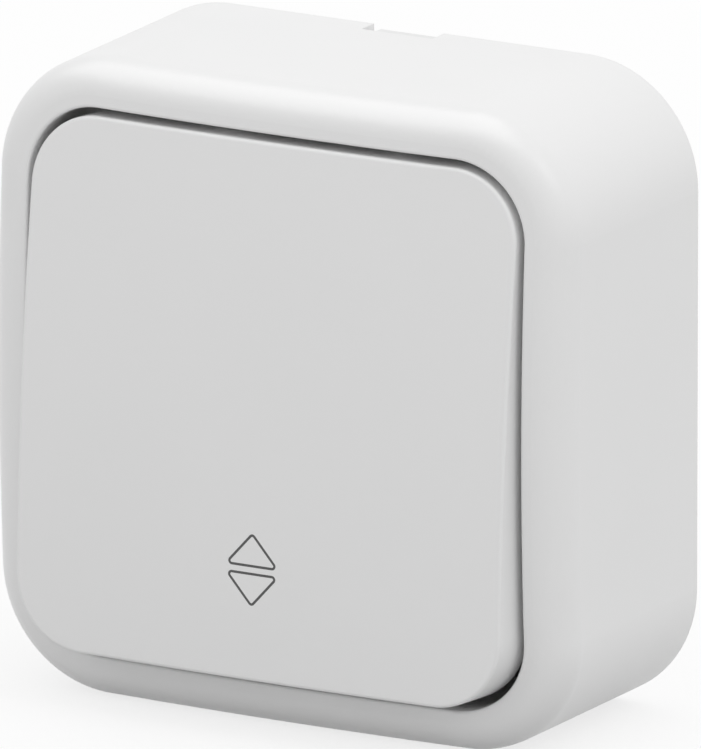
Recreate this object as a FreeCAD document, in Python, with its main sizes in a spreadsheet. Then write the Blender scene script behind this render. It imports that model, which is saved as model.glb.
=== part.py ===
"""Surface-mounted one-gang two-way rocker switch, as a parametric document.

X runs to the right, Y into the wall and Z up. The origin is the centre of the rear face, on the wall.
A depth is a distance from the wall towards the room, so it lies at minus Y.
"""

import FreeCAD, Part
import math
import os
import Sketcher

doc = FreeCAD.newDocument("two_way_switch")

# Driving dimensions, in millimetres and degrees: alias, value, meaning.
SIZES = [
    ("cover_width", 70.0, "width and height of the housing at the wall"),
    ("crown_depth", 30.5, "wall to the crown of the domed front"),
    ("side_draft", 0.3, "draft of the housing's sides, degrees"),
    ("corner_radius", 13.3, "corner radius of the housing seen from the front"),
    ("dome_drop_across", 1.5, "how far the front falls back at its left and right sides"),
    ("dome_drop_up", 1.75, "how far the front falls back at its top and bottom"),
    ("edge_round", 3.9, "radius between the front and the sides"),
    ("cover_wall", 2.0, "wall of the housing's sides"),
    ("front_border", 5.0, "width of the housing's front beside the opening"),
    ("opening_radius", 8.5, "corner radius of the opening"),
    ("opening_edge_round", 0.3, "radius on the opening's front edge"),
    ("skirt_wall", 1.5, "wall of the skirt behind the opening"),
    ("skirt_length", 10.5, "crown of the housing to the rear edge of the skirt"),
    ("channel_length", 5.0, "moulding channel between the skirt and the side wall"),
    ("tab_reach", 7.5, "how far the screw tabs reach in from the skirt"),
    ("tab_height", 12.0, "height of the screw tabs"),
    ("tab_thickness", 1.8, "thickness of the screw tabs"),
    ("notch_width", 8.5, "width of the notch in the top rear edge"),
    ("notch_length", 2.5, "length of the notch from the wall"),
    ("base_gap", 0.3, "gap between the base's rim and the housing's wall"),
    ("base_floor", 2.2, "thickness of the base's floor"),
    ("rim_wall", 1.4, "wall of the base's rim"),
    ("rim_height", 2.8, "height of the base's rim above its floor"),
    ("wall_slot_inset", 6.7, "middle of a wall fixing slot to the edge of the base"),
    ("wall_slot_width", 4.2, "width of a wall fixing slot"),
    ("wall_slot_length", 7.0, "length of a wall fixing slot, end to end"),
    ("entry_side_inset", 12.7, "middle of a cable entry to the side of the base"),
    ("entry_top_inset", 8.2, "middle of a cable entry to the top of the base"),
    ("entry_width", 9.0, "diameter of a cable entry"),
    ("knockout_groove", 0.8, "width of the groove round a knock-out"),
    ("knockout_web", 0.6, "thickness that holds a knock-out"),
    ("locator_wall", 1.2, "thickness of the base's walls beside the block"),
    ("locator_length", 22.0, "length of the base's walls beside the block"),
    ("locator_gap", 0.15, "gap between the block and the walls beside it"),
    ("cover_screw_inset", 4.0, "middle of a housing screw to the edge of the opening"),
    ("post_width", 6.5, "diameter of the posts for the housing screws"),
    ("boss_width", 6.4, "diameter of the bosses for the mechanism screws"),
    ("boss_length", 5.8, "length of the bosses above the base's floor"),
    ("boss_clearance", 0.1, "clearance round a boss in its socket"),
    ("screw_radius", 1.45, "radius of the housing and mechanism screws"),
    ("screw_clearance", 0.05, "radial clearance of a screw in its bore"),
    ("hole_clearance", 0.2, "radial clearance of a screw in a hole that it only passes"),
    ("screw_point", 0.7, "length of a screw's tapered point"),
    ("head_rim", 0.8, "height of the straight rim of a screw's head"),
    ("head_slope", 0.55, "how far a screw's head narrows above its rim"),
    ("head_radius", 2.7, "head radius of the housing and mechanism screws"),
    ("head_height", 1.7, "head height of the housing and mechanism screws"),
    ("cover_screw_length", 11.5, "shank length of the housing screws"),
    ("mechanism_screw_length", 12.0, "shank length of the mechanism screws"),
    ("bore_spare", 0.5, "bore left past a screw's end"),
    ("key_gap_across", 0.7, "gap at the left and right of the key"),
    ("key_gap_up", 1.1, "gap above and below the level key"),
    ("key_radius", 7.8, "corner radius of the key"),
    ("key_proud", 2.2, "how far the level key's crown stands in front of the housing's"),
    ("key_drop_across", 1.15, "how far the key's face falls back at its left and right sides"),
    ("key_drop_up", 1.15, "how far the key's face falls back at its top and bottom"),
    ("key_edge_round", 0.35, "radius round the key's face"),
    ("key_wall", 1.4, "wall of the key's sides"),
    ("key_skin", 1.8, "thickness of the key's face"),
    ("key_side_length", 8.0, "crown of the key to the rear edge of its sides"),
    ("key_seat_drop", 3.1, "crown of the key to the plane that the cradle seats on"),
    ("hollow_margin", 5.3, "side of the key to the domed hollow behind its face"),
    ("key_rib", 1.2, "thickness of the ribs behind the key's face"),
    ("key_rib_place", 11.0, "distance of the ribs from the middle"),
    ("pivot_drop", 6.0, "crown of the key to its pivot axis"),
    ("rest_tilt", 4.5, "tilt of the key at either end of its travel, degrees"),
    ("cradle_width", 28.0, "width and height of the cradle's plate"),
    ("cradle_plate", 1.7, "thickness of the cradle's plate"),
    ("cradle_corner", 3.0, "corner radius of the cradle's plate"),
    ("tube_radius", 3.0, "outer radius of the cradle's plunger tube"),
    ("tube_lift", 1.0, "front of the block to the open end of the plunger tube"),
    ("tube_bore", 1.9, "bore radius of the plunger tube"),
    ("tube_cap", 4.8, "front of the cradle to the closed end of the tube's bore"),
    ("hub_width", 9.4, "width of the cradle's hub between the bearings"),
    ("hub_height", 6.0, "height of the cradle's hub"),
    ("hub_length", 4.0, "length of the cradle's hub behind its plate"),
    ("trunnion_radius", 1.5, "radius of the cradle's trunnions"),
    ("trunnion_end", 0.3, "length of a trunnion past the outside of its ear"),
    ("running_clearance", 0.05, "radial clearance of a pin or plunger in its bore"),
    ("leg_thickness", 1.5, "thickness of the key's snap legs"),
    ("leg_height", 8.0, "height of the key's snap legs"),
    ("leg_gap", 0.15, "gap between a snap leg and the cradle's plate"),
    ("hook_reach", 0.8, "how far a snap leg's hook reaches under the plate"),
    ("hook_length", 1.4, "length of a snap leg's hook"),
    ("terminal_margin", 6.2, "middle of a terminal screw to the side of the block"),
    ("socket_wall", 0.9, "wall of the block beyond a boss socket"),
    ("block_corner", 2.0, "corner radius of the block"),
    ("chamber_depth", 9.5, "depth of the block's chamber and bays"),
    ("block_floor", 3.8, "thickness of the block behind the contact strips"),
    ("bar_side_gap", 0.5, "gap at each side of the moving contact in its chamber"),
    ("chamber_end_gap", 0.2, "gap between a strip and the end of the chamber"),
    ("chamber_wall", 1.3, "wall between the chamber and a boss socket"),
    ("bay_end_gap", 1.6, "gap between a terminal clamp and the inner end of its bay"),
    ("bay_side_gap", 0.9, "gap above and below a terminal clamp in its bay"),
    ("strip_thickness", 1.0, "thickness of the contact strips"),
    ("strip_width", 6.0, "width of the contact strips"),
    ("strip_gap", 0.1, "gap round a strip where it passes through a wall"),
    ("strip_inner", 3.2, "how far a strip reaches past the middle"),
    ("tongue_gap", 0.5, "gap between a terminal clamp and the strip's turned-up end"),
    ("tongue_height", 2.0, "height of a strip's turned-up outer end"),
    ("terminal_across", 11.8, "distance of a terminal screw from the middle"),
    ("terminal_screw_radius", 1.75, "radius of a terminal screw"),
    ("terminal_head_radius", 2.9, "head radius of a terminal screw"),
    ("terminal_head_height", 1.8, "head height of a terminal screw"),
    ("terminal_screw_length", 5.0, "shank length of a terminal screw"),
    ("clamp_width", 7.4, "width and height of a terminal clamp"),
    ("clamp_thickness", 1.2, "thickness of a terminal clamp"),
    ("clamp_lip", 0.6, "thickness of a clamp's turned-back lips"),
    ("clamp_lip_length", 0.8, "length of a clamp's turned-back lips"),
    ("clamp_lip_width", 5.2, "width of a clamp's turned-back lips"),
    ("contact_arm", 9.0, "pivot of the moving contact to its tips"),
    ("contact_tilt", 8.0, "tilt of the moving contact at either end, degrees"),
    ("contact_gap", 0.1, "clearance between closed tips"),
    ("bar_width", 6.4, "width of the moving contact"),
    ("bar_end", 1.8, "moving contact beyond the middle of its tips"),
    ("bar_thickness", 1.4, "thickness of the moving contact"),
    ("bar_corner", 1.5, "corner radius of the moving contact"),
    ("knife_radius", 0.5, "radius of the knife edge that carries the moving contact"),
    ("knife_width", 5.0, "width of the knife edge"),
    ("tip_radius", 1.5, "radius of the contact tips"),
    ("tip_crown", 3.0, "crown radius of the moving tips"),
    ("moving_tip_height", 0.8, "head height of the moving tips"),
    ("fixed_tip_height", 0.9, "head height of the fixed tips"),
    ("rivet_radius", 0.8, "radius of the tips' rivet shanks"),
    ("rivet_clearance", 0.02, "radial clearance of a rivet shank in its hole"),
    ("frame_margin", 0.3, "plate of the bearing frame past the outside of an ear"),
    ("frame_inset", 0.2, "ends of the bearing frame's plate short of the block's ends"),
    ("frame_plate", 1.5, "thickness of the bearing frame's plate"),
    ("hub_side_gap", 0.6, "gap between the cradle's hub and a bearing ear"),
    ("ear_thickness", 2.0, "thickness of a bearing ear"),
    ("ear_radius", 2.9, "radius of a bearing ear's end"),
    ("ear_foot", 10.0, "height of a bearing ear at its foot"),
    ("ear_window_gap", 0.4, "gap between the faces of a bearing ear and the cradle's window"),
    ("ear_swing_gap", 0.8, "gap above and below a bearing ear in the cradle's window"),
    ("window_side_gap", 0.4, "gap at each side of the plunger tube in the frame's window"),
    ("window_swing_gap", 1.6, "gap above and below the plunger tube in the frame's window"),
    ("plunger_tip", 1.2, "radius of the plunger's tip"),
    ("plunger_gap", 0.1, "clearance between the plunger and the level moving contact"),
    ("plunger_cone", 1.3, "length of the plunger's cone"),
    ("spring_room", 4.8, "plunger's shoulder to the closed end of the tube's bore"),
    ("spigot_radius", 0.9, "radius of the plunger's spring spigot"),
    ("spigot_length", 1.5, "length of the plunger's spring spigot"),
    ("spring_wire", 0.4, "wire diameter of the spring"),
    ("spring_radius", 1.35, "mean radius of the spring"),
    ("spring_turns", 5.0, "turns of the spring"),
    ("drive_slot", 0.8, "width of the drive slot in a screw's head"),
    ("drive_depth", 0.9, "depth of the drive slot in a screw's head"),
    ("skirt_rib", 1.0, "thickness of the ribs between the skirt and the side wall"),
    ("skirt_rib_place", 16.0, "distance of those ribs from the middle"),
    ("root", 0.2, "how far a raised form is rooted in the piece that carries it"),
    ("cut_spare", 1.0, "how far a cut runs past what it cuts"),
]

# Places that follow from the driving dimensions: alias, formula, meaning.
PLACES = [
    ("opening_width", "sizes.cover_width - 2 * sizes.front_border", "width and height of the opening"),
    ("skirt_rear", "sizes.crown_depth - sizes.skirt_length", "depth of the skirt's rear edge"),
    ("skirt_width", "opening_width + 2 * sizes.skirt_wall", "width and height over the skirt"),
    ("cover_inner", "sizes.cover_width - 2 * sizes.cover_wall", "width and height inside the housing"),
    ("tab_front", "skirt_rear + sizes.tab_thickness", "depth of the front of the screw tabs"),
    ("cover_screw_across", "opening_width / 2 - sizes.cover_screw_inset", "housing screw to the middle"),
    ("base_width", "cover_inner - 2 * sizes.base_gap", "width and height of the base"),
    ("base_radius", "sizes.corner_radius - sizes.cover_wall - sizes.base_gap", "corner radius of the base"),
    ("wall_slot_up", "base_width / 2 - sizes.wall_slot_inset", "wall fixing slot to the middle"),
    ("entry_across", "base_width / 2 - sizes.entry_side_inset", "cable entry to the middle, across"),
    ("entry_up", "base_width / 2 - sizes.entry_top_inset", "cable entry to the middle, upwards"),
    ("boss_front", "sizes.base_floor + sizes.boss_length", "depth of the front ends of the bosses"),
    ("strip_seat", "sizes.base_floor + sizes.block_floor", "depth of the seat of the contact strips"),
    ("strip_front", "strip_seat + sizes.strip_thickness", "depth of the front of the strips"),
    ("block_front", "strip_seat + sizes.chamber_depth", "depth of the front of the block"),
    ("frame_front", "block_front + sizes.frame_plate", "depth of the front of the bearing frame's plate"),
    ("clamp_front", "strip_front + sizes.clamp_thickness", "depth of the front of the terminal clamps"),
    ("key_crown", "sizes.crown_depth + sizes.key_proud", "depth of the level key's crown"),
    ("pivot_depth", "key_crown - sizes.pivot_drop", "depth of the key's pivot axis"),
    ("key_rear", "key_crown - sizes.key_side_length", "depth of the rear edge of the key's sides"),
    ("cradle_front", "key_crown - sizes.key_seat_drop", "depth of the plane that the cradle seats on"),
    ("cradle_rear", "cradle_front - sizes.cradle_plate", "depth of the rear of the cradle's plate"),
    ("key_width", "opening_width - 2 * sizes.key_gap_across", "width of the key"),
    ("key_height", "opening_width - 2 * sizes.key_gap_up", "height of the key"),
    ("hollow_width", "key_width - 2 * sizes.hollow_margin", "width of the hollow behind the key's face"),
    ("rib_depth", "sizes.key_seat_drop - sizes.key_skin + sizes.root", "depth of the ribs in that hollow"),
    ("leg_inner", "sizes.cradle_width / 2 + sizes.leg_gap", "distance of a snap leg from the middle"),
    ("ear_inner", "sizes.hub_width / 2 + sizes.hub_side_gap", "inside of a bearing ear to the middle"),
    ("ear_outer", "ear_inner + sizes.ear_thickness", "outside of a bearing ear to the middle"),
    ("frame_width", "2 * (ear_outer + sizes.frame_margin)", "width of the bearing frame"),
    ("trunnion_span", "2 * (ear_outer + sizes.trunnion_end)", "end to end length of the trunnions"),
    ("window_width", "2 * (sizes.tube_radius + sizes.window_side_gap)", "width of the frame's window"),
    ("window_height", "2 * (sizes.tube_radius + sizes.window_swing_gap)", "height of the frame's window"),
    (
        "contact_pivot",
        "strip_front + sizes.fixed_tip_height + sizes.contact_gap + sizes.tip_crown"
        " - (sizes.tip_crown - sizes.moving_tip_height) * cos(sizes.contact_tilt * 1 deg)"
        " + sizes.contact_arm * sin(sizes.contact_tilt * 1 deg)",
        "depth of the moving contact's pivot axis",
    ),
    (
        "plunger_centre",
        "contact_pivot + sizes.bar_thickness + sizes.plunger_gap + sizes.plunger_tip",
        "depth of the centre of the plunger's tip",
    ),
    ("tube_rear", "block_front + sizes.tube_lift", "depth of the open end of the plunger tube"),
    ("tube_end", "cradle_front - sizes.tube_cap", "depth of the closed end of the tube's bore"),
    ("plunger_shoulder", "tube_end - sizes.spring_room", "depth of the plunger's spring shoulder"),
    ("chamber_width", "sizes.bar_width + 2 * sizes.bar_side_gap", "width of the contact chamber"),
    (
        "chamber_height",
        "2 * (sizes.contact_arm + sizes.strip_width / 2 + sizes.chamber_end_gap)",
        "height of the contact chamber",
    ),
    ("socket_radius", "sizes.boss_width / 2 + sizes.boss_clearance", "radius of a boss socket"),
    (
        "mechanism_screw_up",
        "chamber_height / 2 + sizes.chamber_wall + socket_radius",
        "mechanism screw to the middle",
    ),
    ("block_height", "2 * (mechanism_screw_up + socket_radius + sizes.socket_wall)", "height of the block"),
    ("block_width", "2 * (sizes.terminal_across + sizes.terminal_margin)", "width of the block"),
    (
        "bay_inner",
        "sizes.terminal_across - sizes.clamp_width / 2 - sizes.bay_end_gap",
        "inner end of a terminal bay to the middle",
    ),
    ("bay_height", "sizes.clamp_width + 2 * sizes.bay_side_gap", "height of a terminal bay"),
    (
        "strip_outer",
        "sizes.terminal_across + sizes.clamp_width / 2 + sizes.tongue_gap + sizes.strip_thickness",
        "outer end of a strip to the middle",
    ),
    ("screw_bore", "sizes.screw_radius + sizes.screw_clearance", "radius of a screw's bore"),
    ("screw_hole", "sizes.screw_radius + sizes.hole_clearance", "radius of a hole that a screw passes"),
    ("terminal_bore", "sizes.terminal_screw_radius + sizes.screw_clearance", "radius of a terminal's bore"),
    ("terminal_hole", "sizes.terminal_screw_radius + sizes.hole_clearance", "radius of a clamp's hole"),
]


def fill_sheet(name, rows, prefix):
    """Writes one row for each value: its name, the value under that name as alias, and its meaning."""
    sheet = doc.addObject("Spreadsheet::Sheet", name)
    for row, (alias, value, meaning) in enumerate(rows, start=1):
        sheet.set(f"A{row}", alias)
        sheet.set(f"B{row}", f"{prefix}{value}")
        sheet.setAlias(f"B{row}", alias)
        sheet.set(f"C{row}", meaning)
    doc.recompute()
    return sheet


sizes = fill_sheet("sizes", SIZES, "")
places = fill_sheet("places", PLACES, "=")


def number(expression):
    """The present value of an expression on the two sheets."""
    return float(sizes.evalExpression(expression))


def new_body(label):
    """A body for one sub-part, whose label names its file."""
    body = doc.addObject("PartDesign::Body", label)
    body.Label = label
    return body


def origin_feature(body, role):
    """The body's own origin plane or axis of that role."""
    return next(item for item in body.Origin.OriginFeatures if item.Role == role)


def new_sketch(body, name, offset, plane="XZ_Plane"):
    """A sketch on one of the body's planes, moved along the plane's normal by the offset.

    On XZ_Plane the offset is a depth; on YZ_Plane it is X, and the sketch's first direction is Y.
    """
    sketch = body.newObject("Sketcher::SketchObject", f"{body.Name}_{name}")
    sketch.AttachmentSupport = [(origin_feature(body, plane), "")]
    sketch.MapMode = "FlatFace"
    sketch.AttachmentOffset = FreeCAD.Placement()
    sketch.setExpression("AttachmentOffset.Base.z", offset)
    return sketch


def bind(sketch, name, constraint, expression):
    """Adds a constraint with a name of its own and binds its size to the expression."""
    index = sketch.addConstraint(constraint)
    sketch.renameConstraint(index, name)
    sketch.setExpression(f"Constraints.{name}", expression)


def centre_point(sketch, name, across, up):
    """A construction point at the bound place; returns its index and its position."""
    place = FreeCAD.Vector(number(across), number(up), 0)
    point = sketch.addGeometry(Part.Point(place), True)
    bind(sketch, f"{name}_across", Sketcher.Constraint("DistanceX", -1, 1, point, 1, place.x), across)
    bind(sketch, f"{name}_up", Sketcher.Constraint("DistanceY", -1, 1, point, 1, place.y), up)
    return point, place


def circle(sketch, name, radius, across="0", up="0"):
    """A circle about a bound place."""
    point, place = centre_point(sketch, name, across, up)
    size = number(radius)
    ring = sketch.addGeometry(Part.Circle(place, FreeCAD.Vector(0, 0, 1), size), False)
    sketch.addConstraint(Sketcher.Constraint("Coincident", ring, 3, point, 1))
    bind(sketch, f"{name}_radius", Sketcher.Constraint("Radius", ring, size), radius)


def outline(sketch, name, corners, arcs=None):
    """A closed outline whose corners are bound places.

    The side after a corner in arcs is round, and passes through the bound place given there.
    """
    arcs = arcs or {}
    points = [FreeCAD.Vector(number(across), number(up), 0) for across, up in corners]
    sides = []
    for index, start in enumerate(points):
        end = points[(index + 1) % len(points)]
        if index in arcs:
            through = FreeCAD.Vector(*[number(part) for part in arcs[index]], 0)
            sides.append(sketch.addGeometry(Part.Arc(start, through, end), False))
        else:
            sides.append(sketch.addGeometry(Part.LineSegment(start, end), False))
    for index, (across, up) in enumerate(corners):
        side, before = sides[index], sides[index - 1]
        first = end_at(sketch, side, points[index])
        last = end_at(sketch, before, points[index])
        sketch.addConstraint(Sketcher.Constraint("Coincident", before, last, side, first))
        level = Sketcher.Constraint("DistanceX", -1, 1, side, first, points[index].x)
        bind(sketch, f"{name}_across_{index}", level, across)
        height = Sketcher.Constraint("DistanceY", -1, 1, side, first, points[index].y)
        bind(sketch, f"{name}_up_{index}", height, up)
    for index, through in arcs.items():
        point = centre_point(sketch, f"{name}_arc_{index}", *through)[0]
        sketch.addConstraint(Sketcher.Constraint("PointOnObject", point, 1, sides[index]))


def end_at(sketch, side, point):
    """Which end of a side, 1 or 2, lies at the point."""
    near = (sketch.getPoint(side, 1) - point).Length
    far = (sketch.getPoint(side, 2) - point).Length
    return 1 if near < far else 2


def rectangle(sketch, name, width, height, across="0", up="0"):
    """A rectangle about a bound place."""
    left, right = f"({across}) - ({width}) / 2", f"({across}) + ({width}) / 2"
    low, high = f"({up}) - ({height}) / 2", f"({up}) + ({height}) / 2"
    outline(sketch, name, [(left, low), (right, low), (right, high), (left, high)])


def rounded(sketch, name, width, height, radius, across="0", up="0"):
    """A rectangle with round corners about a bound place."""
    point, place = centre_point(sketch, name, across, up)
    half_width, half_height, size = number(width) / 2, number(height) / 2, number(radius)
    turns = [(1, -1, -90), (1, 1, 0), (-1, 1, 90), (-1, -1, 180)]
    arcs = []
    for side, level, start in turns:
        centre = place + FreeCAD.Vector(side * (half_width - size), level * (half_height - size), 0)
        ring = Part.Circle(centre, FreeCAD.Vector(0, 0, 1), size)
        arc = Part.ArcOfCircle(ring, math.radians(start), math.radians(start + 90))
        arcs.append(sketch.addGeometry(arc, False))
    lines = []
    for index, arc in enumerate(arcs):
        following = arcs[(index + 1) % 4]
        start = sketch.getPoint(arc, 2)
        end = sketch.getPoint(following, 1)
        line = sketch.addGeometry(Part.LineSegment(start, end), False)
        lines.append(line)
        sketch.addConstraint(Sketcher.Constraint("Tangent", arc, 2, line, 1))
        sketch.addConstraint(Sketcher.Constraint("Tangent", line, 2, following, 1))
        direction = "Vertical" if index % 2 == 0 else "Horizontal"
        sketch.addConstraint(Sketcher.Constraint(direction, line))
    for arc in arcs[1:]:
        sketch.addConstraint(Sketcher.Constraint("Equal", arcs[0], arc))
    sketch.addConstraint(Sketcher.Constraint("Symmetric", arcs[0], 3, arcs[2], 3, point, 1))
    bind(sketch, f"{name}_radius", Sketcher.Constraint("Radius", arcs[0], size), radius)
    span = Sketcher.Constraint("DistanceX", lines[2], 1, lines[0], 1, 2 * half_width)
    bind(sketch, f"{name}_width", span, width)
    rise = Sketcher.Constraint("DistanceY", lines[3], 1, lines[1], 1, 2 * half_height)
    bind(sketch, f"{name}_height", rise, height)


def upright_slot(sketch, name, width, length, across, up):
    """An upright slot with round ends about a bound place."""
    rise = f"(({length}) - ({width})) / 2"
    left, right = f"({across}) - ({width}) / 2", f"({across}) + ({width}) / 2"
    low, high = f"({up}) - {rise}", f"({up}) + {rise}"
    corners = [(left, low), (right, low), (right, high), (left, high)]
    arcs = {0: (across, f"{low} - ({width}) / 2"), 2: (across, f"{high} + ({width}) / 2")}
    outline(sketch, name, corners, arcs)


def pad(body, sketch, length, taper=None, centred=False):
    """Adds the sketch's shape, towards the room for a sketch at a depth."""
    feature = body.newObject("PartDesign::Pad", f"{sketch.Name}_pad")
    feature.Profile = sketch
    feature.AllowMultiFace = True
    feature.setExpression("Length", length)
    if centred:
        feature.SideType = "Symmetric"
    if taper:
        feature.setExpression("TaperAngle", taper)
    sketch.Visibility = False
    doc.recompute()
    return feature


def pocket(body, sketch, length, forward=False):
    """Cuts the sketch's shape, towards the wall or, with forward, towards the room."""
    feature = body.newObject("PartDesign::Pocket", f"{sketch.Name}_pocket")
    feature.Profile = sketch
    feature.AllowMultiFace = True
    feature.setExpression("Length", length)
    feature.Reversed = forward
    before = body.Shape.Volume
    doc.recompute()
    if body.Shape.Volume > before - 1e-6:
        raise RuntimeError(f"{feature.Name} cut nothing")
    return feature


def revolve(body, sketch, axis="Y_Axis"):
    """Turns the sketch's profile fully about one of the body's axes."""
    feature = body.newObject("PartDesign::Revolution", f"{sketch.Name}_turned")
    feature.Profile = sketch
    feature.ReferenceAxis = (origin_feature(body, axis), [""])
    feature.Angle = 360
    doc.recompute()
    return feature


def dome_cut(body, name, crown, across_radius, up_radius, reach, front):
    """Cuts a body to a doubly curved face, which has its crown on the Y axis.

    The region between the face's arc and a flat front turns about an upright axis behind the wall,
    as far to each side as it reaches up and down.
    """
    sketch = new_sketch(body, name, "0", "YZ_Plane")
    edge = f"({up_radius}) - sqrt(({up_radius}) ^ 2 - ({reach}) ^ 2) - ({crown})"
    corners = [(edge, f"-({reach})"), (f"-({front})", f"-({reach})"), (f"-({front})", reach), (edge, reach)]
    outline(sketch, name, corners, {3: (f"-({crown})", "0")})
    behind = f"({across_radius}) - ({crown})"
    low = FreeCAD.Vector(number(behind), -number(reach), 0)
    high = FreeCAD.Vector(number(behind), number(reach), 0)
    line = sketch.addGeometry(Part.LineSegment(low, high), True)
    bind(sketch, f"{name}_axis", Sketcher.Constraint("DistanceX", -1, 1, line, 1, low.x), behind)
    span = Sketcher.Constraint("DistanceY", line, 1, line, 2, high.y - low.y)
    bind(sketch, f"{name}_span", span, f"2 * ({reach})")
    sketch.addConstraint(Sketcher.Constraint("Symmetric", line, 1, line, 2, -1))
    feature = body.newObject("PartDesign::Groove", f"{sketch.Name}_groove")
    feature.Profile = sketch
    feature.ReferenceAxis = (sketch, ["Axis0"])
    feature.Midplane = True
    feature.setExpression("Angle", f"2 * asin(({reach}) / ({across_radius}))")
    before = body.Shape.Volume
    doc.recompute()
    if body.Shape.Volume > before - 1e-6:
        raise RuntimeError(f"{feature.Name} cut nothing")
    return feature


def fillet(body, radius, wanted):
    """Rounds the edges of the body's last feature that the test accepts."""
    last = body.Tip
    names = [f"Edge{index}" for index, edge in enumerate(last.Shape.Edges, start=1) if wanted(edge)]
    feature = body.newObject("PartDesign::Fillet", f"{body.Name}_fillet")
    feature.Base = (last, names)
    feature.setExpression("Radius", radius)
    doc.recompute()
    return feature


def edge_box(edge):
    """The edge's box as its least depth, and its greatest reach to a side, up or down."""
    box = edge.BoundBox
    reach = max(abs(box.XMin), abs(box.XMax), abs(box.ZMin), abs(box.ZMax))
    return -box.YMax, reach


def tilted(depth, angle):
    """The placement that turns a level sub-part about the X direction at a depth."""
    pivot = FreeCAD.Vector(0, -number(depth), 0)
    turn = FreeCAD.Rotation(FreeCAD.Vector(1, 0, 0), angle)
    return FreeCAD.Placement(FreeCAD.Vector(), turn, pivot)


def housing_cover():
    """Deep one-piece housing: domed front, opening with a skirt, screw tabs and the notch at the top."""
    body = new_body("housing_cover")
    shell = new_sketch(body, "outline", "0")
    rounded(shell, "outer", "sizes.cover_width", "sizes.cover_width", "sizes.corner_radius")
    pad(body, shell, "sizes.crown_depth + sizes.cut_spare", taper="-sizes.side_draft")
    half = "sizes.cover_width / 2"
    dome_cut(
        body,
        "dome",
        "sizes.crown_depth",
        f"({half}) ^ 2 / (2 * sizes.dome_drop_across)",
        f"({half}) ^ 2 / (2 * sizes.dome_drop_up)",
        f"{half} + sizes.cut_spare",
        "sizes.crown_depth + sizes.dome_drop_across + 2 * sizes.cut_spare",
    )
    middle = number("sizes.crown_depth / 2")
    fillet(body, "sizes.edge_round", lambda edge: edge_box(edge)[0] > middle)

    hollow = new_sketch(body, "hollow", "0")
    inner_radius = "sizes.corner_radius - sizes.cover_wall"
    rounded(hollow, "inner", "places.cover_inner", "places.cover_inner", inner_radius)
    pocket(body, hollow, "places.skirt_rear", forward=True)

    channel = new_sketch(body, "channel", "places.skirt_rear")
    rounded(channel, "inner", "places.cover_inner", "places.cover_inner", inner_radius)
    skirt_radius = "sizes.opening_radius + sizes.skirt_wall"
    rounded(channel, "skirt", "places.skirt_width", "places.skirt_width", skirt_radius)
    pocket(body, channel, "sizes.channel_length", forward=True)

    opening = new_sketch(body, "opening", "0")
    rounded(opening, "opening", "places.opening_width", "places.opening_width", "sizes.opening_radius")
    pocket(body, opening, "sizes.crown_depth + sizes.cut_spare", forward=True)
    behind = number("places.skirt_rear + sizes.channel_length")
    inside = number("(places.opening_width + places.skirt_width) / 4")
    fillet(
        body,
        "sizes.opening_edge_round",
        lambda edge: edge_box(edge)[0] > behind and edge_box(edge)[1] < inside,
    )

    ribs = new_sketch(body, "skirt_ribs", "places.skirt_rear")
    rib_length = "(places.cover_inner - places.skirt_width) / 2 + 2 * sizes.root"
    rib_place = "(places.cover_inner + places.skirt_width) / 4"
    for side, sign in (("plus", ""), ("minus", "-1 * ")):
        for row, turn in (("high", ""), ("low", "-1 * ")):
            along = f"{turn}(sizes.skirt_rib_place)"
            place = f"{sign}({rib_place})"
            rectangle(ribs, f"{side}_{row}_side", rib_length, "sizes.skirt_rib", place, along)
            rectangle(ribs, f"{side}_{row}_end", "sizes.skirt_rib", rib_length, along, place)
    pad(body, ribs, "sizes.channel_length + sizes.root")

    tabs = new_sketch(body, "tabs", "places.skirt_rear")
    tab_width = "sizes.tab_reach + sizes.skirt_wall / 2"
    tab_place = f"places.opening_width / 2 + sizes.skirt_wall / 2 - ({tab_width}) / 2"
    for side, sign in (("right", ""), ("left", "-1 * ")):
        rectangle(tabs, side, tab_width, "sizes.tab_height", f"{sign}({tab_place})")
    pad(body, tabs, "sizes.tab_thickness")
    holes = new_sketch(body, "tab_holes", "places.tab_front")
    for side, sign in (("right", ""), ("left", "-1 * ")):
        circle(holes, side, "places.screw_hole", f"{sign}(places.cover_screw_across)")
    pocket(body, holes, "sizes.tab_thickness")

    notch = new_sketch(body, "notch", "0")
    rectangle(notch, "notch", "sizes.notch_width", "2 * sizes.cover_wall", up=half)
    pocket(body, notch, "sizes.notch_length", forward=True)
    return body


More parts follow.
